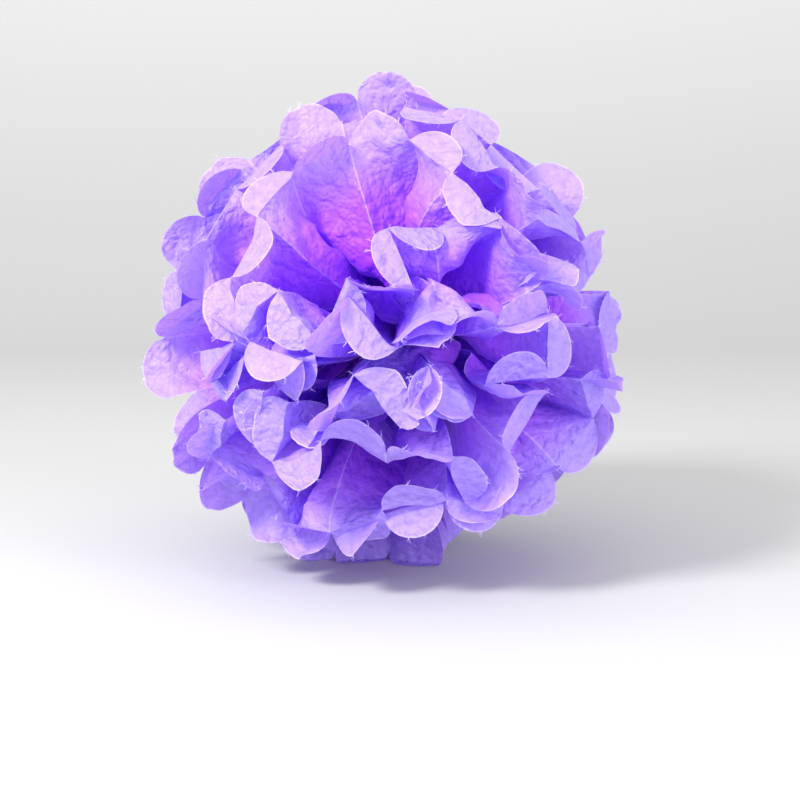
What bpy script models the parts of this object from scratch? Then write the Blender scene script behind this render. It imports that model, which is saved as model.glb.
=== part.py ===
# Tissue paper pom pom: ten pleated sheets with rounded ends, pinched at the waist by a twisted wire.
# Metres, +Z up. The two poles of the ball face -Y and +Y. The strip of folded paper runs up and
# down through the tie, leaning by one pleat, and every sheet opens into a fan above the tie and
# a fan below it. The origin is on the surface that the ball rests on, under the middle of the ball.

import math

import bmesh
import bpy
from mathutils import Matrix, Vector

# The stack of paper, as it is cut and folded
SHEETS = 10
PLEATS = 12  # panels across one sheet
PANEL = 0.0423  # width of one panel, from fold to fold
CUSP_REACH = 0.158  # from the tie to the notch between two scallops
SCALLOP = 0.020  # height of the rounded end beyond the notches
PAPER = 0.0005  # modelled thickness, stiffer than the real 0.04 mm
ARC_STEPS = 6  # straight edges round one scallop

# How the sheets are pulled apart: polar angle of each sheet from its own pole
OPENING = [math.radians(a) for a in (18, 34, 50, 66, 82)]
SIDE_GAP = math.radians(3)  # between a fan's last fold and the plane that parts upper from lower
PLEAT_TURN = (math.pi - 2 * SIDE_GAP) / PLEATS  # round the pole, from fold to fold
ROLL = PLEAT_TURN  # lean of the whole ball, so that one fold of each sheet points straight down
BODY_REACH = (0.020, 0.050, 0.100)  # from the tie to the rows of points between bundle and notches
PINCHED_REACH = 0.050  # within this reach of the tie the pleats are squeezed narrower
DEEPEST = 0.6  # most that a pleat may zigzag to either side, as a share of the sheet's polar angle
CURL = 20  # degrees that a scallop bends away from its pole
CURL_STEP = 3  # degrees more or less, until a low scallop is clear of the floor

# The tie
TIE = Vector((0, 0, 0.160))  # its middle, above the surface that the ball rests on
BUNDLE_RADIUS = 0.0065  # of the gathered paper inside the wire
SHEET_PITCH = 0.0011  # between sheets in the bundle
NECK = 0.004  # half the straight length through the wire, on the two outermost sheets
WIRE = 0.0008  # diameter
WIRE_CLEARANCE = 0.0005  # between the wire and the paper
TWIST_PITCH = 0.004
TWIST_TURNS = 4
TWIST_RADIUS = 0.0006  # from the twist's axis to each strand's centre
TWIST_STEPS = 8  # straight edges in one turn
LOOP_STEPS = 24

# The scallops that carry the ball lie flat: the two lowest of the two middle sheets
FOOT_SHEETS = (4, 5)
FOOT_FOLDS = (6, 7, 8)
FOOT_PANELS = (6, 7)

UPPER, LOWER = 1, -1


def new_material(name, colour, roughness, metallic):
    material = bpy.data.materials.new(name)
    material.use_nodes = True
    shader = material.node_tree.nodes["Principled BSDF"]
    shader.inputs["Base Color"].default_value = (*colour, 1)
    shader.inputs["Roughness"].default_value = roughness
    shader.inputs["Metallic"].default_value = metallic
    return material


def place(point):
    """From the tie's own frame, where the strip stands upright, to the leaning ball's."""
    return TIE + Matrix.Rotation(-ROLL, 3, "Y") @ Vector(point)


def is_front(sheet):
    return sheet < SHEETS / 2


def from_the_edge(sheet):
    """How many sheets lie between this one and the nearer face of the stack."""
    return min(sheet, SHEETS - 1 - sheet)


def opening_of(sheet):
    """Polar angle of a sheet, measured from the front pole."""
    angle = OPENING[from_the_edge(sheet)]
    return angle if is_front(sheet) else math.pi - angle


def pleat_tilt(sheet, reach):
    """Half the angle between near and far folds, so that a panel keeps its width at that reach."""
    width = PANEL * min(1, reach / PINCHED_REACH) ** 2
    step = reach * math.sin(opening_of(sheet)) * PLEAT_TURN
    depth = math.sqrt(max(width**2 - step**2, 0))
    return min(depth / (2 * reach), DEEPEST * OPENING[from_the_edge(sheet)])


def fold_point(sheet, end, fold, reach):
    """A fold's point at that reach from the tie: near folds lean to the front, far folds to the back."""
    side = -1 if fold % 2 == 0 else 1
    polar = opening_of(sheet) + side * pleat_tilt(sheet, reach)
    turn = end * (SIDE_GAP + PLEAT_TURN * fold)
    direction = (math.cos(turn) * math.sin(polar), -math.cos(polar), math.sin(turn) * math.sin(polar))
    return place(Vector(direction) * reach)


def neck_point(sheet, end, fold):
    """Where a fold leaves the bundle. Outer sheets bend first, so that the sheets nest."""
    y = (sheet - (SHEETS - 1) / 2) * SHEET_PITCH
    half_width = math.sqrt(BUNDLE_RADIUS**2 - y**2)
    x = half_width * (1 - 2 * fold / PLEATS)
    z = end * (NECK + SHEET_PITCH * from_the_edge(sheet))
    return place((x, y, z))


def is_foot(sheet, end):
    return end == LOWER and sheet in FOOT_SHEETS


def cusp_point(sheet, end, fold):
    point = fold_point(sheet, end, fold, CUSP_REACH)
    if is_foot(sheet, end) and fold in FOOT_FOLDS:
        point.z = PAPER / 2
    return point


def towards_pole(sheet):
    return Vector((0, -1 if is_front(sheet) else 1, 0))


def fold_line(sheet, end, fold):
    """The points of one fold on one side of the tie, from the bundle to the notch."""
    body = [fold_point(sheet, end, fold, reach) for reach in BODY_REACH]
    return [neck_point(sheet, end, fold), *body, cusp_point(sheet, end, fold)]


def square_to(vector, *others):
    """The part of a vector that is square to the others, as a unit vector."""
    for other in others:
        vector = vector - other * vector.dot(other)
    return vector.normalized()


def scallop_arc(left, right, pointing):
    """The points round one rounded end, between its two notches."""
    middle, half = (left + right) / 2, (right - left) / 2
    turns = [math.pi * i / ARC_STEPS for i in range(1, ARC_STEPS)]
    return [middle - half * math.cos(t) + pointing * SCALLOP * math.sin(t) for t in turns]


def scallop_points(sheet, end, panel, left, right):
    """A scallop is flat on a foot. Any other curls away from its pole, and further where it is low."""
    if is_foot(sheet, end) and panel in FOOT_PANELS:
        return scallop_arc(left, right, towards_pole(sheet))
    chord = (right - left).normalized()
    outward = square_to((left + right) / 2 - TIE, chord)
    away = square_to(-towards_pole(sheet), chord, outward)
    for more in range(0, 120, CURL_STEP):
        for angle in (CURL + more, CURL - more):
            turn = math.radians(angle)
            arc = scallop_arc(left, right, outward * math.cos(turn) + away * math.sin(turn))
            if min(point.z for point in arc) > PAPER:
                return arc
    raise ValueError("a scallop has no room above the floor")


def add_object(data, material):
    data.materials.append(material)
    obj = bpy.data.objects.new(data.name, data)
    bpy.context.scene.collection.objects.link(obj)
    return obj


def tissue_sheet(sheet, material):
    """One sheet: a fan above the tie and a fan below it, joined by its strip of the bundle."""
    shape = bmesh.new()
    lines = []
    for fold in range(PLEATS + 1):
        points = fold_line(sheet, LOWER, fold)[::-1] + fold_line(sheet, UPPER, fold)
        lines.append([shape.verts.new(point) for point in points])
    for panel in range(PLEATS):
        left, right = lines[panel], lines[panel + 1]
        for row in range(len(left) - 1):
            shape.faces.new((left[row], right[row], right[row + 1], left[row + 1]))
        for end, row in ((LOWER, 0), (UPPER, -1)):
            notches = left[row].co, right[row].co
            arc = [shape.verts.new(point) for point in scallop_points(sheet, end, panel, *notches)]
            loop = [left[row], *arc, right[row]]
            shape.faces.new(loop if end == LOWER else loop[::-1])
    bmesh.ops.recalc_face_normals(shape, faces=shape.faces)
    mesh = bpy.data.meshes.new(f"tissue_sheet_{sheet + 1:02d}")
    shape.to_mesh(mesh)
    shape.free()
    thickness = add_object(mesh, material).modifiers.new("paper", "SOLIDIFY")
    thickness.thickness = PAPER
    thickness.offset = 0


def twisted_strand(side, start):
    """One end of the wire in the twist, from the loop outwards along +Y."""
    points = []
    for i in range(TWIST_TURNS * TWIST_STEPS + 1):
        turns = i / TWIST_STEPS
        x = side * TWIST_RADIUS * math.cos(2 * math.pi * turns)
        z = side * TWIST_RADIUS * math.sin(2 * math.pi * turns)
        points.append(place((x, start + TWIST_PITCH * turns, z)))
    return points


def tie_wire(material):
    """One length of wire: in along the twist, once round the bundle, and out along the twist."""
    outermost = (SHEETS - 1) / 2 * SHEET_PITCH
    corner = math.hypot(math.sqrt(BUNDLE_RADIUS**2 - outermost**2), outermost + PAPER / 2)
    radius = corner + WIRE_CLEARANCE + WIRE / 2
    gap = 2 * math.asin(TWIST_RADIUS / radius)
    loop = []
    for i in range(LOOP_STEPS + 1):
        turn = (math.pi - gap) / 2 - (2 * math.pi - gap) * i / LOOP_STEPS
        loop.append(place((radius * math.cos(turn), radius * math.sin(turn), 0)))
    start = radius + WIRE
    path = twisted_strand(1, start)[::-1] + loop + twisted_strand(-1, start)
    curve = bpy.data.curves.new("tie_wire", "CURVE")
    curve.dimensions = "3D"
    curve.bevel_depth = WIRE / 2
    curve.bevel_resolution = 1
    curve.use_fill_caps = True
    spline = curve.splines.new("POLY")
    spline.points.add(len(path) - 1)
    for knot, point in zip(spline.points, path):
        knot.co = (*point, 1)
    add_object(curve, material)


def main():
    for obj in list(bpy.data.objects):
        bpy.data.objects.remove(obj)
    tissue = new_material("tissue", (0.42, 0.20, 0.93), 0.75, 0)
    for sheet in range(SHEETS):
        tissue_sheet(sheet, tissue)
    tie_wire(new_material("wire", (0.62, 0.62, 0.64), 0.4, 0.9))


main()
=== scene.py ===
import math

import bpy
import numpy as np
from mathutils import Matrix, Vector


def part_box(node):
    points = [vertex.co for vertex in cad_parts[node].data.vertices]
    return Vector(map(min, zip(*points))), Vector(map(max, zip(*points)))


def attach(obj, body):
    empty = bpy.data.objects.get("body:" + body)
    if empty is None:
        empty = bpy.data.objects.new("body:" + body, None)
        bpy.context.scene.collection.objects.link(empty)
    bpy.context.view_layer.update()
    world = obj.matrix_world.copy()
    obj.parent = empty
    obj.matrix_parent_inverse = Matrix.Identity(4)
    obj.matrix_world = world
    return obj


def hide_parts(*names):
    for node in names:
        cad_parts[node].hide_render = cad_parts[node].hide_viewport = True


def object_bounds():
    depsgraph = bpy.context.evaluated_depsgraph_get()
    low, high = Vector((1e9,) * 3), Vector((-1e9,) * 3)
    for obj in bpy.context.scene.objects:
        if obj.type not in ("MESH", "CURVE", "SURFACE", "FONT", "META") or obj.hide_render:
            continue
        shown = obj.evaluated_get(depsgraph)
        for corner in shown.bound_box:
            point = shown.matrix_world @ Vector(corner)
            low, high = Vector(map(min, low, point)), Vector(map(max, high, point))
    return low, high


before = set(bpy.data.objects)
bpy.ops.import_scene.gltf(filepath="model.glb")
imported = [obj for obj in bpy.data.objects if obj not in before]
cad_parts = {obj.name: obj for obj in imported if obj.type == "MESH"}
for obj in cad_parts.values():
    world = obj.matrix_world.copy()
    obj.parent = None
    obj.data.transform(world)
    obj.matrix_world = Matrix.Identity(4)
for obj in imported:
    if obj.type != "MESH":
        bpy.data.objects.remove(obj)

# Tissue paper pom pom: ten pleated sheets pulled open round a wire tie, each with its own creases,
# curled ends and bent scallops.
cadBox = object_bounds()
scene = bpy.context.scene

wireLow, wireHigh = (np.array(corner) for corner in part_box("tie_wire"))
tie = np.array([0.0, 0.0, (wireLow[2] + wireHigh[2]) / 2])

# the stack as it was folded and cut, in metres, and how far it is pulled open, in degrees
paper = {
    "sheets": 10,
    "pleats": 12,
    "panel": 0.0423,  # from fold to fold
    "notchReach": 0.158,  # from the tie to the notch between two scallops
    "scallop": 0.020,
    "openings": (18, 34, 50, 66, 82),  # of each sheet from its own pole
    "sideGap": 3,  # between a fan's last fold and the slit that parts upper from lower
    "deepest": 0.6,  # most zigzag to either side, as a share of the opening
    "pinched": 0.045,  # the pleats are squeezed narrower than this far from the tie
    "bundleRadius": 0.0065,
    "sheetPitch": 0.0011,
    "neck": 0.004,
}

# what makes every pleat different
habit = {
    "seed": 3,
    "foldWander": 0.16,  # of a pleat, shared by all the sheets
    "foldJitter": 0.16,  # of a pleat, each sheet on its own
    "fanDrift": 3.5,  # degrees, a whole fan
    "foldLean": 4.5,  # degrees, one fold
    "curl": (2, 12),  # degrees that a fold's outer half bends away from its pole: mean, spread
    "lips": (0.75, 0.4, 0.12, 0, 0),  # how far each sheet's ends close towards the slit, from its pole
    "kink": 26,  # degrees, where a fold is bent sharply somewhere in its outer half
    "sway": 0.26,  # of a pleat, sideways at the end
    "sag": 0.011,  # of the notches, where a fan stands straight out
    "crumple": 0.0034,  # of the lattice before it is settled
    "bulge": 0.006,  # of a panel between its folds
    "slip": 0.003,  # of a sheet in the tie
    "warp": 0.0035,  # slow bend of the whole ball
}

# lattice that the paper is settled on, then the finer one that is drawn
settling = {"columns": 4, "rows": 24, "rounds": 280, "clearance": 0.0012}
drawn = {"columns": 16, "rows": 72, "flapRows": 8}

rng = np.random.default_rng(habit["seed"])
sheetTotal, pleatTotal = paper["sheets"], paper["pleats"]
half = sheetTotal // 2
turn = math.radians(180 - 2 * paper["sideGap"]) / pleatTotal  # round the pole, from fold to fold
ownOpening = np.radians([paper["openings"][min(k, sheetTotal - 1 - k)] for k in range(sheetTotal)])
poleSide = np.where(np.arange(sheetTotal) < half, -1.0, 1.0)  # -1 faces the front pole, 1 the back


def leaned(points):
    # the ball leans by one pleat about Y
    c, s = math.cos(turn), math.sin(turn)
    x, y, z = points[..., 0], points[..., 1], points[..., 2]
    return np.stack([x * c - z * s, y, x * s + z * c], axis=-1)


def unit(vectors):
    return vectors / np.maximum(np.linalg.norm(vectors, axis=-1, keepdims=True), 1e-12)


def smoothStep(x):
    x = np.clip(x, 0, 1)
    return x * x * (3 - 2 * x)


def alongFolds(noise):
    # neighbouring folds do much the same
    padded = np.concatenate([noise[..., :1], noise, noise[..., -1:]], axis=-1)
    return (padded[..., :-2] + 2 * padded[..., 1:-1] + padded[..., 2:]) / math.sqrt(6)


def openedFolds():
    # every fold of every fan, as a line of points from the bundle to the notch:
    # axes are sheet, end (upper, lower), fold, row, xyz
    folds = np.arange(pleatTotal + 1)
    share = np.linspace(0, 1, settling["rows"])
    reach = paper["notchReach"] * share
    shape = (sheetTotal, 2, pleatTotal + 1)

    wander = rng.normal(0, habit["foldWander"], (1, 2, pleatTotal + 1))
    jitter = rng.normal(0, habit["foldJitter"], shape)
    place = folds + np.clip(wander + jitter, -0.42, 0.42)
    place[..., 0] = np.maximum(place[..., 0], -0.1)
    place[..., -1] = np.minimum(place[..., -1], pleatTotal + 0.1)
    sway = alongFolds(rng.normal(0, habit["sway"], shape))

    drift = np.radians(rng.normal(0, habit["fanDrift"], (sheetTotal, 2, 1)))
    lean = np.radians(rng.normal(0, habit["foldLean"], shape))
    curl = habit["curl"][0] + alongFolds(rng.normal(0, habit["curl"][1], shape))
    kink = alongFolds(rng.normal(0, habit["kink"], shape))
    kinkStart = rng.uniform(0.5, 0.85, (sheetTotal, 2, 1))
    own = ownOpening[:, None, None, None] + (drift + lean)[..., None] * smoothStep(share * 2)
    own = own + np.radians(curl)[..., None] * np.clip(share * 2 - 1, 0, 1) ** 2
    own = own + np.radians(kink)[..., None] * np.maximum(share - kinkStart[..., None], 0) * 2

    width = paper["panel"] * np.minimum(1, reach / paper["pinched"]) ** 2
    step = reach * np.sin(ownOpening)[:, None] * turn
    depth = np.sqrt(np.maximum(width**2 - step**2, 0))
    tilt = np.minimum(depth / (2 * np.maximum(reach, 1e-6)), paper["deepest"] * ownOpening[:, None])
    near = np.where(folds % 2 == 0, -1.0, 1.0)  # even folds lean to the front
    front = np.where(poleSide < 0, 1.0, -1.0)[:, None, None, None]
    own = own + front * near[None, None, :, None] * tilt[:, None, None, :]
    own = np.clip(own, math.radians(-14), math.radians(100))

    end = np.array([1.0, -1.0])[None, :, None, None]
    azimuth = math.radians(paper["sideGap"]) + turn * (place[..., None] + sway[..., None] * share**2)
    lips = np.array([habit["lips"][min(k, sheetTotal - 1 - k)] for k in range(sheetTotal)])
    closing = 1 - lips[:, None, None, None] * smoothStep(share * 1.25 - 0.25)
    direction = np.stack(
        [
            np.cos(azimuth) * np.sin(own),
            poleSide[:, None, None, None] * np.cos(own),
            end * np.sin(azimuth) * np.sin(own) * closing,
        ],
        axis=-1,
    )
    direction[..., 2] -= habit["sag"] / paper["notchReach"] * share**2 * (1 - direction[..., 2] ** 2)
    direction = unit(direction)
    slip = rng.normal(0, habit["slip"], sheetTotal)
    longer = 1 + np.stack([slip, -slip], axis=-1) / paper["notchReach"]
    cone = direction * (reach[:, None] * longer[:, :, None, None, None])

    y = (np.arange(sheetTotal) - (sheetTotal - 1) / 2) * paper["sheetPitch"]
    halfWidth = np.sqrt(paper["bundleRadius"] ** 2 - y**2)
    x = halfWidth[:, None] * (1 - 2 * folds / pleatTotal)
    rise = paper["neck"] + paper["sheetPitch"] * np.minimum(np.arange(sheetTotal), np.arange(sheetTotal)[::-1])
    neck = np.zeros(shape + (1, 3))
    neck[..., 0] = x[:, None, :, None]
    neck[..., 1] = y[:, None, None, None]
    neck[..., 2] = rise[:, None, None, None] * end
    leave = smoothStep(share / 0.2)[:, None]
    return leaned(neck * (1 - leave) + cone * leave), longer


def settlingLattice(folds):
    # columns between the folds, bulged to one side or the other
    count = settling["columns"]
    steps = []
    left, right = folds[:, :, :-1], folds[:, :, 1:]
    along = np.gradient((left + right) / 2, axis=3)
    normal = unit(np.cross(right - left, along))
    bulge = rng.normal(0, habit["bulge"], (sheetTotal, 2, pleatTotal, 1, 1))
    share = np.linspace(0, 1, settling["rows"])[:, None]
    for i in range(count):
        f = i / count
        steps.append(left * (1 - f) + right * f + normal * bulge * 4 * f * (1 - f) * share)
    body = np.stack(steps, axis=3).reshape(sheetTotal, 2, pleatTotal * count, settling["rows"], 3)
    lattice = np.concatenate([body, folds[:, :, -1:]], axis=2)
    rough = rng.normal(0, habit["crumple"], lattice.shape)
    return lattice + rough * smoothStep(share * 1.6)


def warped(points):
    # a slow bend of space, the same for neighbouring sheets, so that none is pushed through another
    moved = points.copy()
    for i in range(9):
        wave = rng.normal(0, 1, 3) * 2 * math.pi / rng.uniform(0.10, 0.2) / 1.7
        push = rng.normal(0, habit["warp"], 3)
        phase = rng.uniform(0, 2 * math.pi)
        moved += np.sin(points @ wave + phase)[..., None] * push * smoothStep(
            np.linalg.norm(points, axis=-1, keepdims=True) / 0.12
        )
    return moved


def pull(points, first, second, length, stiffness=1.0, onlyPush=False):
    # move two slices of the lattice towards the length that the paper has between them
    a, b = points[first], points[second]
    gap = b - a
    size = np.linalg.norm(gap, axis=-1, keepdims=True)
    error = (size - length) / np.maximum(size, 1e-9)
    if onlyPush:
        error = np.minimum(error, 0)
    step = gap * error * (0.5 * stiffness)
    points[first] = a + step
    points[second] = b - step


def settle(points, longer):
    # paper bends but doesn't stretch: bring every cell back to its flat size, keep the sheets in
    # order, and keep upper and lower fans on their own sides of the slit
    rows, columns = settling["rows"], settling["columns"]
    reach = paper["notchReach"] * np.linspace(0, 1, rows)
    squeeze = np.clip(reach / paper["pinched"], 0.02, 1) ** 1.6
    across = paper["panel"] / columns * squeeze
    along = paper["notchReach"] / (rows - 1) * longer[:, :, None, None, None]
    acrossRow = across[None, None, None, :, None]
    mid = ((across[1:] + across[:-1]) / 2)[None, None, None, :, None]
    diagonal = np.sqrt(mid**2 + along**2)
    everything = slice(None)
    neck = points[:, :, :, :2].copy()
    turned = leaned(np.array([0.0, 0.0, 1.0]))

    def cut(u, v):
        return (everything, everything, u, v)

    uCount = points.shape[2]
    panelMiddle = np.arange(uCount - 2) % columns <= columns - 2
    firstOfPair = np.nonzero(panelMiddle)[0]
    for i in range(settling["rounds"]):
        for start in (0, 1):
            v0 = slice(start, rows - 1, 2)
            v1 = slice(start + 1, rows, 2)
            pull(points, cut(everything, v0), cut(everything, v1), along)
            u0 = slice(start, uCount - 1, 2)
            u1 = slice(start + 1, uCount, 2)
            pull(points, cut(u0, everything), cut(u1, everything), acrossRow)
        for start in (0, 1):
            u0 = slice(start, uCount - 1, 2)
            u1 = slice(start + 1, uCount, 2)
            low, high = slice(0, rows - 1), slice(1, rows)
            shearA = 0.6
            pull(points, cut(u0, low), cut(u1, high), diagonal, shearA)
            pull(points, cut(u1, low), cut(u0, high), diagonal, shearA)
        for offset in range(3):
            v0 = slice(offset, rows - 3, 3)
            v1 = slice(offset + 3, rows, 3)
            n = min(len(range(*v0.indices(rows))), len(range(*v1.indices(rows))))
            v0 = slice(offset, offset + 3 * n, 3)
            v1 = slice(offset + 3, offset + 3 + 3 * n, 3)
            pull(points, cut(everything, v0), cut(everything, v1), 3 * along * 0.997, 0.25, True)
        for c in range(2):
            u0 = slice(c * 2, uCount - 2, columns)
            u1 = slice(c * 2 + 2, uCount, columns)
            pull(points, cut(u0, everything), cut(u1, everything), 2 * acrossRow * 0.985, 0.4, True)
        u0 = slice(0, uCount - 1, columns)
        u1 = slice(columns, uCount, columns)
        pull(points, cut(u0, everything), cut(u1, everything), columns * acrossRow * 0.96, 0.4, True)
        if i % 3 == 0:
            keepOrder(points)
        keepSides(points, turned)
        points[..., 2] = np.maximum(points[..., 2], 0.0015 - tie[2])
        points[:, :, :, :2] = neck
    return points


def keepOrder(points):
    normal = unit(np.cross(np.gradient(points, axis=2), np.gradient(points, axis=3)))
    normal *= np.array([1.0, -1.0])[None, :, None, None, None]
    reach = np.linspace(0, 1, settling["rows"])[None, None, None, :, None]
    least = settling["clearance"] * (0.3 + 1.5 * reach)
    for k in range(sheetTotal - 1):
        side = unit(normal[k] + normal[k + 1])
        gap = ((points[k + 1] - points[k]) * side).sum(-1, keepdims=True)
        short = np.clip(least[0] - gap, 0, 0.004) * 0.5
        points[k] -= side * short
        points[k + 1] += side * short


def keepSides(points, up):
    height = points @ up
    low = np.maximum(0.0006 - height[:, 0], 0)
    points[:, 0] += low[..., None] * up
    high = np.maximum(height[:, 1] + 0.0006, 0)
    points[:, 1] -= high[..., None] * up


def splineMatrix(knots, samples):
    # weights of a natural cubic spline through evenly numbered knots
    n = knots
    system = np.zeros((n, n))
    right = np.zeros((n, n))
    system[0, 0] = system[-1, -1] = 1
    for i in range(1, n - 1):
        system[i, i - 1 : i + 2] = 1, 4, 1
        right[i, i - 1 : i + 2] = 6, -12, 6
    second = np.linalg.solve(system, right)
    place = np.asarray(samples) * (n - 1)
    low = np.clip(np.floor(place).astype(int), 0, n - 2)
    t = (place - low)[:, None]
    eye = np.eye(n)
    value = (1 - t) * eye[low] + t * eye[low + 1]
    bend = ((1 - t) ** 3 - (1 - t)) * second[low] + (t**3 - t) * second[low + 1]
    return value + bend / 6


def chordMatrix(knots, samples):
    # weights of straight lines through the same knots
    place = np.asarray(samples) * (knots - 1)
    return np.maximum(1 - np.abs(place[:, None] - np.arange(knots)), 0)


# how the paper is creased between its folds, and how its scallops are bent back, in degrees
wear = {
    "facets": 0.6,  # 0 bends softly, 1 only at creases
    "creases": 18,  # in each panel
    "creaseSlope": 0.34,
    "creaseSpread": (0.003, 0.011),
    "creaseLength": (0.008, 0.045),
    "flapLean": (6, 18),  # most scallops: mean, spread
    "flapBent": (40, 115),  # the ones folded at their chord
    "flapBentShare": 0.62,
    "flapCurl": 14,
    "floorGap": 0.0004,
}


def panelSamples():
    n = drawn["columns"]
    even = np.arange(n + 1) / n
    return 0.65 * (1 - np.cos(math.pi * even)) / 2 + 0.35 * even


def fineSurface(points):
    # each panel's own smooth surface, so that the folds between panels stay sharp
    n = settling["columns"]
    windows = np.arange(pleatTotal)[:, None] * n + np.arange(n + 1)
    panels = points[:, :, windows]
    facet = wear["facets"]
    across, along = panelSamples(), np.linspace(0, 1, drawn["rows"])
    acrossWeights = splineMatrix(n + 1, across) * (1 - facet) + chordMatrix(n + 1, across) * facet
    rows = settling["rows"]
    alongWeights = splineMatrix(rows, along) * (1 - facet) + chordMatrix(rows, along) * facet
    return np.einsum("cu,kepuvx,rv->kepcrx", acrossWeights, panels, alongWeights, optimize=True)


def surfaceNormals(surface):
    normal = np.cross(np.gradient(surface, axis=3), np.gradient(surface, axis=4))
    towardsBack = np.array([1.0, -1.0])[None, :, None, None, None, None]
    return unit(normal) * towardsBack


def creased(surface):
    # straight ridges and dents that die away at the folds and in the bundle
    f = panelSamples()[:, None]
    share = np.linspace(0, 1, drawn["rows"])[None, :]
    x, y = f * paper["panel"], share * paper["notchReach"]
    panels = (sheetTotal, 2, pleatTotal, 1, 1)
    height = np.zeros(surface.shape[:-1])
    for i in range(wear["creases"]):
        x0 = rng.uniform(0, paper["panel"], panels)
        y0 = paper["notchReach"] * rng.uniform(0.25, 1.05, panels)
        way = rng.normal(0, 0.6, panels) + (math.pi / 2 if i % 3 else 0)
        off = (x - x0) * np.sin(way) - (y - y0) * np.cos(way)
        along = (x - x0) * np.cos(way) + (y - y0) * np.sin(way)
        slope = rng.normal(0, wear["creaseSlope"], panels)
        spread = rng.uniform(*wear["creaseSpread"], panels)
        length = rng.uniform(*wear["creaseLength"], panels)
        height += slope * spread * np.exp(-np.abs(off) / spread) * np.exp(-((along / length) ** 2))
    height *= np.sin(math.pi * f) ** 0.6 * smoothStep(share / 0.25)
    return surface + surfaceNormals(surface) * height[..., None]


def chooseFlaps(surface):
    # how far each scallop leans from its panel, and which ones are folded over at their chord: never
    # two neighbours into the same pleat, and not further than that pleat leaves room for
    panels = (sheetTotal, 2, pleatTotal)
    lean = rng.normal(*wear["flapLean"], panels)
    bent = rng.uniform(0, 1, panels) < wear["flapBentShare"]
    sign = np.where(rng.uniform(0, 1, panels) < 0.5, 1, -1)
    angle = rng.uniform(*wear["flapBent"], panels)
    chord = unit(surface[..., -1, -1, :] - surface[..., 0, -1, :])
    pleatAngle = np.degrees(np.arccos(np.clip(-(chord[:, :, :-1] * chord[:, :, 1:]).sum(-1), -1, 1)))
    for k in range(sheetTotal):
        for end in (0, 1):
            for p in range(pleatTotal):
                # the sign that turns a scallop into the pleat it shares with the panel before it
                shared = (1 if p % 2 == 0 else -1) * (1 if poleSide[k] < 0 else -1)
                if p and bent[k, end, p] and bent[k, end, p - 1]:
                    if sign[k, end, p] == sign[k, end, p - 1] == shared:
                        sign[k, end, p] = -shared
                fold = p - 1 if sign[k, end, p] == shared else p
                if 0 <= fold < pleatTotal - 1:
                    room = 78 + 0.9 * max(pleatAngle[k, end, fold] - 45, 0)
                    angle[k, end, p] = min(angle[k, end, p], room)
    return np.where(bent, sign * angle, lean), bent


def straightChords(surface, bent):
    # paper that is folded over at its end is straight along the fold
    f = panelSamples()[:, None, None]
    line = surface[..., :1, :, :] * (1 - f) + surface[..., -1:, :, :] * f
    near = smoothStep((np.linspace(0, 1, drawn["rows"]) - 0.72) / 0.26)[:, None]
    weight = np.where(bent, 0.95, 0.35)[..., None, None, None] * near
    return surface + (line - surface) * weight


def scallops(surface, lean, bent):
    # the rounded end of every panel, turned about the straight line between its two notches
    normal = surfaceNormals(surface)[..., -1, :]
    awayFromPole = -poleSide[:, None, None, None, None]
    chord = surface[..., -1, :]
    flat = np.where(bent, 0.95, 0.25)[..., None, None]
    whole = unit(chord[..., -1:, :] - chord[..., :1, :])
    line = unit(np.gradient(chord, axis=3) * (1 - flat) * 20 + whole * flat)
    outward = unit(chord - surface[..., -4, :])
    outward = outward * (1 - flat) + outward.mean(axis=3, keepdims=True) * flat
    outward = unit(outward - line * (outward * line).sum(-1, keepdims=True))
    away = unit(np.cross(line, outward))
    facing = np.sign((away * normal * awayFromPole).sum(-1, keepdims=True).mean(axis=3, keepdims=True))
    away = away * facing

    panels = (sheetTotal, 2, pleatTotal)
    angle = np.radians(lean)[..., None, None]
    curl = np.radians(rng.normal(0, wear["flapCurl"], panels))[..., None, None]
    f = panelSamples()
    rows = drawn["flapRows"]
    tall = np.sqrt(np.maximum(1 - (2 * f - 1) ** 2, 0))[:, None]
    step = paper["scallop"] * tall / rows
    place = chord
    result = []
    for i in range(rows):
        bend = angle + curl * (i / rows) * tall
        place = place + step * (outward * np.cos(bend) + away * np.sin(bend))
        result.append(place)
    return np.stack(result, axis=4)


def laidOnFloor(columns):
    # rows run outwards along axis -2: what would sink goes on along the floor at its own length
    result = columns.copy()
    floor = wear["floorGap"] - tie[2]
    outwards = poleSide.reshape(-1, *([1] * (columns.ndim - 3)))
    for row in range(1, columns.shape[-2]):
        step = columns[..., row, :] - columns[..., row - 1, :]
        place = result[..., row - 1, :] + step
        low = place[..., 2] < floor
        drop = np.minimum(floor - result[..., row - 1, 2], 0)
        size = np.linalg.norm(step, axis=-1)
        flatLength = np.sqrt(np.maximum(size**2 - drop**2, 0))
        flatWay = step[..., :2].copy()
        flatWay[..., 1] += outwards * size * 0.5
        flatWay = unit(flatWay) * flatLength[..., None]
        flat = np.concatenate([result[..., row - 1, :2] + flatWay, place[..., 2:] * 0 + floor], axis=-1)
        result[..., row, :] = np.where(low[..., None], flat, place)
    return result


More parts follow.
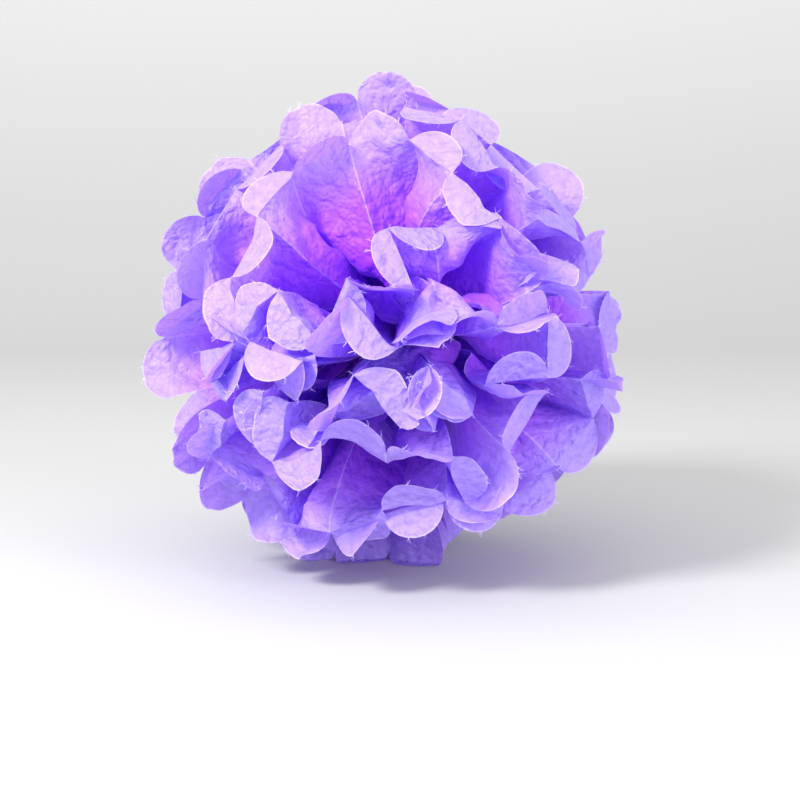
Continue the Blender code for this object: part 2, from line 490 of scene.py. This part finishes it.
def sheetMesh(name, body, flaps):
    # body: end, panel, column, row, xyz; flaps: end, panel, column, row, xyz
    n, rows, flapRows = drawn["columns"], drawn["rows"], drawn["flapRows"]
    f = panelSamples()
    columnTotal = pleatTotal * n + 1
    reach = np.linspace(0, 1, rows) * paper["notchReach"]

    def joined(end):
        return np.concatenate([body[end][:, :-1].reshape(-1, rows, 3), body[end][-1:, -1]], axis=0)

    grid = np.concatenate([joined(1)[:, ::-1], joined(0)], axis=1)
    gridRows = 2 * rows
    points = [grid.reshape(-1, 3)]
    acrossPanel = np.append(np.tile(f[:-1], pleatTotal), 1.0)
    flatX = np.append((np.arange(pleatTotal)[:, None] + f[:-1]).ravel(), pleatTotal) * paper["panel"]
    flatY = np.concatenate([-reach[::-1], reach])
    uv = [np.stack(np.meshgrid(flatX, flatY, indexing="ij"), axis=-1).reshape(-1, 2)]
    foldNear = np.repeat(acrossPanel, gridRows)
    rimNear = [np.zeros(columnTotal * gridRows)]
    acrossAll = [foldNear]

    index = np.arange(columnTotal * gridRows).reshape(columnTotal, gridRows)
    quads = np.stack([index[:-1, :-1], index[1:, :-1], index[1:, 1:], index[:-1, 1:]], axis=-1)
    faces = quads.reshape(-1, 4).tolist()
    total = columnTotal * gridRows
    height = np.sqrt(np.maximum(1 - (2 * f - 1) ** 2, 0))
    for end, edgeRow, sign in ((1, 0, -1), (0, gridRows - 1, 1)):
        for panel in range(pleatTotal):
            chordIndex = index[panel * n : panel * n + n + 1, edgeRow]
            inner = flaps[end, panel, 1:-1]
            layer = np.empty((flapRows + 1, n + 1), dtype=int)
            layer[0] = chordIndex
            layer[1:, 0], layer[1:, -1] = chordIndex[0], chordIndex[-1]
            layer[1:, 1:-1] = total + np.arange((n - 1) * flapRows).reshape(n - 1, flapRows).T
            total += (n - 1) * flapRows
            points.append(inner.reshape(-1, 3))
            t = np.arange(1, flapRows + 1) / flapRows
            across = np.repeat(f[1:-1], flapRows)
            out = (height[1:-1, None] * t).ravel()
            uv.append(np.stack([(panel + across) * paper["panel"],
                                sign * (paper["notchReach"] + out * paper["scallop"])], axis=-1))
            rimNear.append(np.tile(t, n - 1))
            acrossAll.append(across)
            for a in range(flapRows):
                for b in range(n):
                    loop = [layer[a, b], layer[a, b + 1], layer[a + 1, b + 1], layer[a + 1, b]]
                    if sign < 0:
                        loop.reverse()
                    loop = [v for i, v in enumerate(loop) if v != loop[i - 1]]
                    faces.append([int(v) for v in loop])
    mesh = bpy.data.meshes.new(name)
    mesh.from_pydata((np.concatenate(points) + tie).tolist(), [], faces)
    flat = np.concatenate(uv)
    layer = mesh.uv_layers.new(name="flat")
    corner = np.empty(len(mesh.loops), dtype=np.int32)
    mesh.loops.foreach_get("vertex_index", corner)
    layer.data.foreach_set("uv", flat[corner].ravel())
    across = np.concatenate(acrossAll)
    values = {
        "reach": np.abs(flat[:, 1]) / paper["notchReach"],
        "rim": np.concatenate(rimNear),
        "fold": np.abs(2 * across - 1),
    }
    for key, value in values.items():
        mesh.attributes.new(key, "FLOAT", "POINT").data.foreach_set("value", value.astype(np.float32))
    mesh.shade_smooth()
    mesh.set_sharp_from_angle(angle=math.radians(32))
    obj = bpy.data.objects.new(name, mesh)
    scene.collection.objects.link(obj)
    return obj


# the paper's own violet (body), with painted shade towards the bundle and painted light at the pale ends
tissue = {
    # painted shade, where the inside of the ball lies in shade
    "paintedShadeDeep": (0.46, 0.024, 0.92),
    "body": (0.50, 0.125, 0.965),
    # painted light, where the outer petals are lit and lit through
    "end": (0.50, 0.36, 0.975),
    "glow": (0.48, 0.22, 0.99),  # of the light that comes through
    "through": 0.38,
    "roughness": 0.48,
}


def node(tree, kind, **settings):
    made = tree.nodes.new(kind)
    for key, value in settings.items():
        setattr(made, key, value)
    return made


def tissuePaper():
    material = bpy.data.materials.new("violetTissue")
    material.use_nodes = True
    tree = material.node_tree
    tree.nodes.clear()
    link = tree.links.new
    out = node(tree, "ShaderNodeOutputMaterial")
    uv = node(tree, "ShaderNodeUVMap", uv_map="flat")
    reach = node(tree, "ShaderNodeAttribute", attribute_name="reach")
    rim = node(tree, "ShaderNodeAttribute", attribute_name="rim")
    fold = node(tree, "ShaderNodeAttribute", attribute_name="fold")

    # colour by reach from the tie: painted shade deep in the ball, then the paper's own violet, then painted
    # light at the ends
    ramp = node(tree, "ShaderNodeValToRGB")
    ramp.color_ramp.elements[0].position = 0.35
    ramp.color_ramp.elements[0].color = (*tissue["paintedShadeDeep"], 1)
    ramp.color_ramp.elements[1].position = 1.08
    ramp.color_ramp.elements[1].color = (*tissue["end"], 1)
    middle = ramp.color_ramp.elements.new(0.75)
    middle.color = (*tissue["body"], 1)
    link(reach.outputs["Fac"], ramp.inputs["Fac"])

    # cloudy pulp, then short fibres
    pulp = node(tree, "ShaderNodeTexNoise")
    pulp.inputs["Scale"].default_value = 160
    pulp.inputs["Detail"].default_value = 5
    pulp.inputs["Roughness"].default_value = 0.65
    link(uv.outputs["UV"], pulp.inputs["Vector"])
    fibre = node(tree, "ShaderNodeTexNoise")
    fibre.inputs["Scale"].default_value = 900
    fibre.inputs["Detail"].default_value = 3
    link(uv.outputs["UV"], fibre.inputs["Vector"])
    cloud = node(tree, "ShaderNodeMapRange")
    cloud.inputs["From Min"].default_value = 0.3
    cloud.inputs["From Max"].default_value = 0.7
    cloud.inputs["To Min"].default_value = 0.88
    cloud.inputs["To Max"].default_value = 1.12
    link(pulp.outputs["Fac"], cloud.inputs["Value"])
    mottled = node(tree, "ShaderNodeMix", data_type="RGBA", blend_type="MULTIPLY")
    mottled.inputs["Factor"].default_value = 1
    link(ramp.outputs["Color"], mottled.inputs["A"])
    link(cloud.outputs["Result"], mottled.inputs["B"])

    # folds and cut edges are painted paler: a painted highlight along them
    foldLine = node(tree, "ShaderNodeMapRange")
    foldLine.inputs["From Min"].default_value = 0.96
    foldLine.inputs["From Max"].default_value = 1.0
    foldLine.inputs["To Max"].default_value = 0.6
    link(fold.outputs["Fac"], foldLine.inputs["Value"])
    rimLine = node(tree, "ShaderNodeMapRange")
    rimLine.inputs["From Min"].default_value = 0.93
    rimLine.inputs["From Max"].default_value = 1.0
    rimLine.inputs["To Max"].default_value = 0.85
    link(rim.outputs["Fac"], rimLine.inputs["Value"])
    paintedEdgeHighlight = node(tree, "ShaderNodeMath", operation="MAXIMUM")
    link(foldLine.outputs["Result"], paintedEdgeHighlight.inputs[0])
    link(rimLine.outputs["Result"], paintedEdgeHighlight.inputs[1])
    # mix in the painted highlight colour along the folds and cut edges
    paler = node(tree, "ShaderNodeMix", data_type="RGBA")
    paler.inputs["B"].default_value = (0.82, 0.70, 1.0, 1)
    link(paintedEdgeHighlight.outputs["Value"], paler.inputs["Factor"])
    link(mottled.outputs["Result"], paler.inputs["A"])

    # fine wrinkles, larger ones and the fibres, as bump
    wrinkle = node(tree, "ShaderNodeTexNoise", noise_type="RIDGED_MULTIFRACTAL")
    wrinkle.inputs["Scale"].default_value = 75
    wrinkle.inputs["Detail"].default_value = 4
    wrinkle.inputs["Roughness"].default_value = 0.55
    wrinkle.inputs["Distortion"].default_value = 0.25
    link(uv.outputs["UV"], wrinkle.inputs["Vector"])
    bigBump = node(tree, "ShaderNodeBump")
    bigBump.inputs["Strength"].default_value = 0.8
    bigBump.inputs["Distance"].default_value = 0.003
    link(wrinkle.outputs["Fac"], bigBump.inputs["Height"])
    crinkle = node(tree, "ShaderNodeTexVoronoi", feature="F1", distance="EUCLIDEAN")
    crinkle.inputs["Scale"].default_value = 150
    crinkle.inputs["Detail"].default_value = 1
    shifted = node(tree, "ShaderNodeMix", data_type="VECTOR")
    shifted.inputs["Factor"].default_value = 0.006
    link(uv.outputs["UV"], shifted.inputs["A"])
    link(wrinkle.outputs["Color"], shifted.inputs["B"])
    link(shifted.outputs["Result"], crinkle.inputs["Vector"])
    crinkleBump = node(tree, "ShaderNodeBump")
    crinkleBump.inputs["Strength"].default_value = 0.6
    crinkleBump.inputs["Distance"].default_value = 0.003
    link(crinkle.outputs["Distance"], crinkleBump.inputs["Height"])
    link(bigBump.outputs["Normal"], crinkleBump.inputs["Normal"])
    smallBump = node(tree, "ShaderNodeBump")
    smallBump.inputs["Strength"].default_value = 0.5
    smallBump.inputs["Distance"].default_value = 0.0003
    link(fibre.outputs["Fac"], smallBump.inputs["Height"])
    link(crinkleBump.outputs["Normal"], smallBump.inputs["Normal"])

    front = node(tree, "ShaderNodeBsdfPrincipled")
    front.inputs["Roughness"].default_value = tissue["roughness"]
    front.inputs["Specular IOR Level"].default_value = 0.35
    front.inputs["Sheen Weight"].default_value = 0.08
    link(paler.outputs["Result"], front.inputs["Base Color"])
    link(smallBump.outputs["Normal"], front.inputs["Normal"])
    glow = node(tree, "ShaderNodeMix", data_type="RGBA", blend_type="MULTIPLY")
    glow.inputs["Factor"].default_value = 1
    glow.inputs["A"].default_value = (*tissue["glow"], 1)
    link(cloud.outputs["Result"], glow.inputs["B"])
    through = node(tree, "ShaderNodeBsdfTranslucent")
    link(glow.outputs["Result"], through.inputs["Color"])
    link(smallBump.outputs["Normal"], through.inputs["Normal"])
    mix = node(tree, "ShaderNodeMixShader")
    mix.inputs["Fac"].default_value = tissue["through"]
    link(front.outputs["BSDF"], mix.inputs[1])
    link(through.outputs["BSDF"], mix.inputs[2])
    link(mix.outputs["Shader"], out.inputs["Surface"])
    return material


print("folding the sheets")
foldLines, longer = openedFolds()
lattice = warped(settlingLattice(foldLines))
print("settling the paper")
lattice = settle(lattice, longer)
print("creasing and cutting")
body = fineSurface(lattice)
lean, bent = chooseFlaps(body)
body = creased(straightChords(body, bent))
flaps = scallops(body, lean, bent)
columns = np.concatenate([body, flaps], axis=4)
columns[:, 1] = laidOnFloor(columns[:, 1])
body, flaps = columns[..., : drawn["rows"], :], columns[..., drawn["rows"] :, :]

print("making the meshes")
violet = tissuePaper()
for k in range(sheetTotal):
    name = f"tissue_sheet_{k + 1:02d}"
    sheet = sheetMesh(f"petals_{k + 1:02d}", body[k], flaps[k])
    sheet.data.materials.append(violet)
    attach(sheet, "root")
    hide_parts(name)

# the fluff that cutting through ten layers leaves at the notches and along the rounded ends
fluff = {
    "strands": 4,  # at each place
    "length": 0.0034,
    "radius": 0.00009,
    "spread": 0.9,
    "rimPlaces": 2,  # on each scallop, besides its notches
    "floorRoom": 0.006,
    "seed": 5,
}


def fluffTree():
    tree = bpy.data.node_groups.new("fluff", "GeometryNodeTree")
    sockets = {}
    for name, kind in (
        ("Places", "NodeSocketGeometry"),
        ("Strands", "NodeSocketInt"),
        ("Length", "NodeSocketFloat"),
        ("Radius", "NodeSocketFloat"),
        ("Spread", "NodeSocketFloat"),
        ("Seed", "NodeSocketInt"),
        ("Paper", "NodeSocketMaterial"),
    ):
        sockets[name] = tree.interface.new_socket(name, in_out="INPUT", socket_type=kind).identifier
    tree.interface.new_socket("Fluff", in_out="OUTPUT", socket_type="NodeSocketGeometry")
    link = tree.links.new
    given = node(tree, "NodeGroupInput")
    out = node(tree, "NodeGroupOutput")

    # one strand, a metre long, bowed to one side and thinner at its tip
    strand = node(tree, "GeometryNodeCurveQuadraticBezier")
    strand.inputs["Resolution"].default_value = 3
    strand.inputs["Start"].default_value = (0, 0, 0)
    strand.inputs["Middle"].default_value = (0.25, 0, 0.55)
    strand.inputs["End"].default_value = (0.1, 0.15, 1)
    taper = node(tree, "GeometryNodeSplineParameter")
    thin = node(tree, "ShaderNodeMapRange")
    thin.inputs["To Min"].default_value = 1
    thin.inputs["To Max"].default_value = 0.25
    link(taper.outputs["Factor"], thin.inputs["Value"])
    section = node(tree, "GeometryNodeCurvePrimitiveCircle")
    section.inputs["Resolution"].default_value = 3
    ratio = node(tree, "ShaderNodeMath", operation="DIVIDE")
    link(given.outputs["Radius"], ratio.inputs[0])
    link(given.outputs["Length"], ratio.inputs[1])
    link(ratio.outputs["Value"], section.inputs["Radius"])
    thinned = node(tree, "GeometryNodeSetCurveRadius")
    link(strand.outputs["Curve"], thinned.inputs["Curve"])
    link(thin.outputs["Result"], thinned.inputs["Radius"])
    tube = node(tree, "GeometryNodeCurveToMesh")
    tube.inputs["Fill Caps"].default_value = True
    link(thinned.outputs["Curve"], tube.inputs["Curve"])
    link(section.outputs["Curve"], tube.inputs["Profile Curve"])

    # several at each place, fanned round the way out
    repeated = node(tree, "GeometryNodeDuplicateElements", domain="POINT")
    link(given.outputs["Places"], repeated.inputs["Geometry"])
    link(given.outputs["Strands"], repeated.inputs["Amount"])
    outward = node(tree, "GeometryNodeInputNamedAttribute", data_type="FLOAT_VECTOR")
    outward.inputs["Name"].default_value = "outward"
    loose = node(tree, "FunctionNodeRandomValue", data_type="FLOAT_VECTOR")
    loose.inputs["Min"].default_value = (-1, -1, -1)
    loose.inputs["Max"].default_value = (1, 1, 1)
    link(given.outputs["Seed"], loose.inputs["Seed"])
    looser = node(tree, "ShaderNodeVectorMath", operation="SCALE")
    link(loose.outputs[0], looser.inputs[0])
    link(given.outputs["Spread"], looser.inputs["Scale"])
    way = node(tree, "ShaderNodeVectorMath", operation="ADD")
    link(outward.outputs["Attribute"], way.inputs[0])
    link(looser.outputs["Vector"], way.inputs[1])
    turned = node(tree, "FunctionNodeAlignRotationToVector", axis="Z")
    link(way.outputs["Vector"], turned.inputs["Vector"])
    size = node(tree, "FunctionNodeRandomValue", data_type="FLOAT")
    link(given.outputs["Seed"], size.inputs["Seed"])
    size.inputs[2].default_value = 0.35
    size.inputs[3].default_value = 1.3
    long = node(tree, "ShaderNodeMath", operation="MULTIPLY")
    link(size.outputs[1], long.inputs[0])
    link(given.outputs["Length"], long.inputs[1])
    placed = node(tree, "GeometryNodeInstanceOnPoints")
    link(repeated.outputs["Geometry"], placed.inputs["Points"])
    link(tube.outputs["Mesh"], placed.inputs["Instance"])
    link(turned.outputs["Rotation"], placed.inputs["Rotation"])
    link(long.outputs["Value"], placed.inputs["Scale"])
    real = node(tree, "GeometryNodeRealizeInstances")
    link(placed.outputs["Instances"], real.inputs["Geometry"])
    finish = node(tree, "GeometryNodeSetMaterial")
    link(real.outputs["Geometry"], finish.inputs["Geometry"])
    link(given.outputs["Paper"], finish.inputs["Material"])
    link(finish.outputs["Geometry"], out.inputs["Fluff"])
    return tree, sockets


def fluffPaper():
    material = bpy.data.materials.new("violetFluff")
    material.use_nodes = True
    tree = material.node_tree
    shader = tree.nodes["Principled BSDF"]
    place = node(tree, "ShaderNodeTexCoord")
    noise = node(tree, "ShaderNodeTexNoise")
    noise.inputs["Scale"].default_value = 40
    ramp = node(tree, "ShaderNodeValToRGB")
    ramp.color_ramp.elements[0].position = 0.4
    ramp.color_ramp.elements[0].color = (0.58, 0.42, 0.98, 1)
    ramp.color_ramp.elements[1].position = 0.6
    ramp.color_ramp.elements[1].color = (0.86, 0.80, 1.0, 1)
    tree.links.new(place.outputs["Object"], noise.inputs["Vector"])
    tree.links.new(noise.outputs["Fac"], ramp.inputs["Fac"])
    tree.links.new(ramp.outputs["Color"], shader.inputs["Base Color"])
    shader.inputs["Roughness"].default_value = 0.8
    return material


def fluffPlaces(body, flaps):
    # notches, then a few places on every rounded end, each with its way out
    first = np.concatenate([body[:, :, :, 0, -2:], body[:, :, -1:, -1, -2:]], axis=2)
    points = [first[..., 1, :].reshape(-1, 3)]
    ways = [(first[..., 1, :] - first[..., 0, :]).reshape(-1, 3)]
    for i in range(fluff["rimPlaces"]):
        column = rng.integers(2, drawn["columns"] - 1, flaps.shape[:3])[..., None, None, None]
        chosen = np.take_along_axis(flaps, np.broadcast_to(column, (*flaps.shape[:3], 1, *flaps.shape[4:])), 3)
        points.append(chosen[..., 0, -1, :].reshape(-1, 3))
        ways.append((chosen[..., 0, -1, :] - chosen[..., 0, -2, :]).reshape(-1, 3))
    points, ways = np.concatenate(points), unit(np.concatenate(ways))
    high = points[:, 2] + tie[2] > fluff["floorRoom"]
    return points[high] + tie, ways[high]


print("adding the fluff")
fluffPoints, fluffWays = fluffPlaces(body, flaps)
seedMesh = bpy.data.meshes.new("fluffPlaces")
seedMesh.from_pydata(fluffPoints.tolist(), [], [])
seedMesh.attributes.new("outward", "FLOAT_VECTOR", "POINT").data.foreach_set("vector", fluffWays.ravel())
seeds = bpy.data.objects.new("fluffPlaces", seedMesh)
scene.collection.objects.link(seeds)
growing = seeds.modifiers.new("fluff", "NODES")
growing.node_group, sockets = fluffTree()
growing[sockets["Strands"]] = fluff["strands"]
growing[sockets["Length"]] = fluff["length"]
growing[sockets["Radius"]] = fluff["radius"]
growing[sockets["Spread"]] = fluff["spread"]
growing[sockets["Seed"]] = fluff["seed"]
growing[sockets["Paper"]] = fluffPaper()
grown = bpy.data.meshes.new_from_object(seeds.evaluated_get(bpy.context.evaluated_depsgraph_get()))
bpy.data.objects.remove(seeds)
strands = bpy.data.objects.new("cut_fluff", grown)
scene.collection.objects.link(strands)
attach(strands, "root")

# the wire that ties the stack: drawn steel, a little uneven
wire = {"dark": (0.42, 0.43, 0.45), "light": (0.62, 0.63, 0.65), "roughness": (0.28, 0.46)}


def drawnSteel():
    material = bpy.data.materials.new("drawnSteel")
    material.use_nodes = True
    tree = material.node_tree
    shader = tree.nodes["Principled BSDF"]
    shader.inputs["Metallic"].default_value = 1
    place = node(tree, "ShaderNodeTexCoord")
    noise = node(tree, "ShaderNodeTexNoise")
    noise.inputs["Scale"].default_value = 600
    noise.inputs["Detail"].default_value = 3
    ramp = node(tree, "ShaderNodeValToRGB")
    ramp.color_ramp.elements[0].color = (*wire["dark"], 1)
    ramp.color_ramp.elements[1].color = (*wire["light"], 1)
    rough = node(tree, "ShaderNodeMapRange")
    rough.inputs["To Min"].default_value, rough.inputs["To Max"].default_value = wire["roughness"]
    bump = node(tree, "ShaderNodeBump")
    bump.inputs["Distance"].default_value = 0.00005
    tree.links.new(place.outputs["Object"], noise.inputs["Vector"])
    tree.links.new(noise.outputs["Fac"], ramp.inputs["Fac"])
    tree.links.new(noise.outputs["Fac"], rough.inputs["Value"])
    tree.links.new(noise.outputs["Fac"], bump.inputs["Height"])
    tree.links.new(ramp.outputs["Color"], shader.inputs["Base Color"])
    tree.links.new(rough.outputs["Result"], shader.inputs["Roughness"])
    tree.links.new(bump.outputs["Normal"], shader.inputs["Normal"])
    return material


steel = drawnSteel()
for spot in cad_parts["tie_wire"].material_slots:
    spot.material = steel

print("lighting")
studio = {
    "lens": 72,
    "distance": 1.09,
    "azimuth": 3.4,  # the camera stands to the left of the front pole
    "elevation": 5.0,
    "aim": (0.005, 0.0, -0.054),  # from the ball's middle
}


def sweep():
    # a floor that curves up into the backdrop
    profile = [(-4.0, 0.0), (1.4, 0.0)]
    profile += [(1.4 + 1.2 * math.sin(t), 1.2 - 1.2 * math.cos(t)) for t in np.linspace(0.1, math.pi / 2, 14)]
    profile.append((2.6, 4.0))
    points = [(x, y, z) for y, z in profile for x in (-5.0, 5.0)]
    faces = [(2 * i, 2 * i + 1, 2 * i + 3, 2 * i + 2) for i in range(len(profile) - 1)]
    mesh = bpy.data.meshes.new("floor")
    mesh.from_pydata(points, [], faces)
    mesh.shade_smooth()
    return mesh


floorMesh = sweep()
floor = bpy.data.objects.new("floor", floorMesh)
scene.collection.objects.link(floor)
pale = bpy.data.materials.new("paleFloor")
pale.use_nodes = True
paleShader = pale.node_tree.nodes["Principled BSDF"]
paleShader.inputs["Roughness"].default_value = 0.8
paleShader.inputs["Specular IOR Level"].default_value = 0.2
# painted shade that offsets the key light: the floor is darker low down, where more light falls on it, and
# paler up the backdrop
where = node(pale.node_tree, "ShaderNodeTexCoord")
height = node(pale.node_tree, "ShaderNodeSeparateXYZ")
shade = node(pale.node_tree, "ShaderNodeMapRange", interpolation_type="SMOOTHSTEP")
shade.inputs["From Max"].default_value = 1.0
shade.inputs["To Min"].default_value = 0.50
shade.inputs["To Max"].default_value = 0.66
pale.node_tree.links.new(where.outputs["Object"], height.inputs["Vector"])
pale.node_tree.links.new(height.outputs["Z"], shade.inputs["Value"])
pale.node_tree.links.new(shade.outputs["Result"], paleShader.inputs["Base Color"])
floorMesh.materials.append(pale)

world = bpy.data.worlds.new("studio")
scene.world = world
world.use_nodes = True
world.node_tree.nodes["Background"].inputs["Color"].default_value = (1, 1, 1, 1)
world.node_tree.nodes["Background"].inputs["Strength"].default_value = 1.22


def softbox(name, place, size, power, aim):
    light = bpy.data.lights.new(name, "AREA")
    light.shape = "DISK"
    light.size = size
    light.energy = power
    lamp = bpy.data.objects.new(name, light)
    scene.collection.objects.link(lamp)
    lamp.location = place
    lamp.rotation_euler = (Vector(aim) - Vector(place)).to_track_quat("-Z", "Y").to_euler()
    return lamp


softbox("keySoftbox", (-1.1, -1.0, 1.25), 0.5, 42, (0, 0, 0.17))
softbox("fillSoftbox", (1.3, -1.3, 0.7), 0.9, 16, (0, 0, 0.17))

a, e = math.radians(studio["azimuth"]), math.radians(studio["elevation"])
middle = Vector((cadBox[0][0] + cadBox[1][0], cadBox[0][1] + cadBox[1][1], cadBox[0][2] + cadBox[1][2])) / 2
away = Vector((-math.sin(a) * math.cos(e), -math.cos(a) * math.cos(e), math.sin(e)))
camera = bpy.data.objects.new("camera", bpy.data.cameras.new("camera"))
scene.collection.objects.link(camera)
camera.data.lens = studio["lens"]
camera.location = middle + away * studio["distance"]
target = middle + Vector(studio["aim"])
camera.rotation_euler = (target - camera.location).to_track_quat("-Z", "Y").to_euler()
scene.camera = camera
scene.view_settings.view_transform = "Standard"
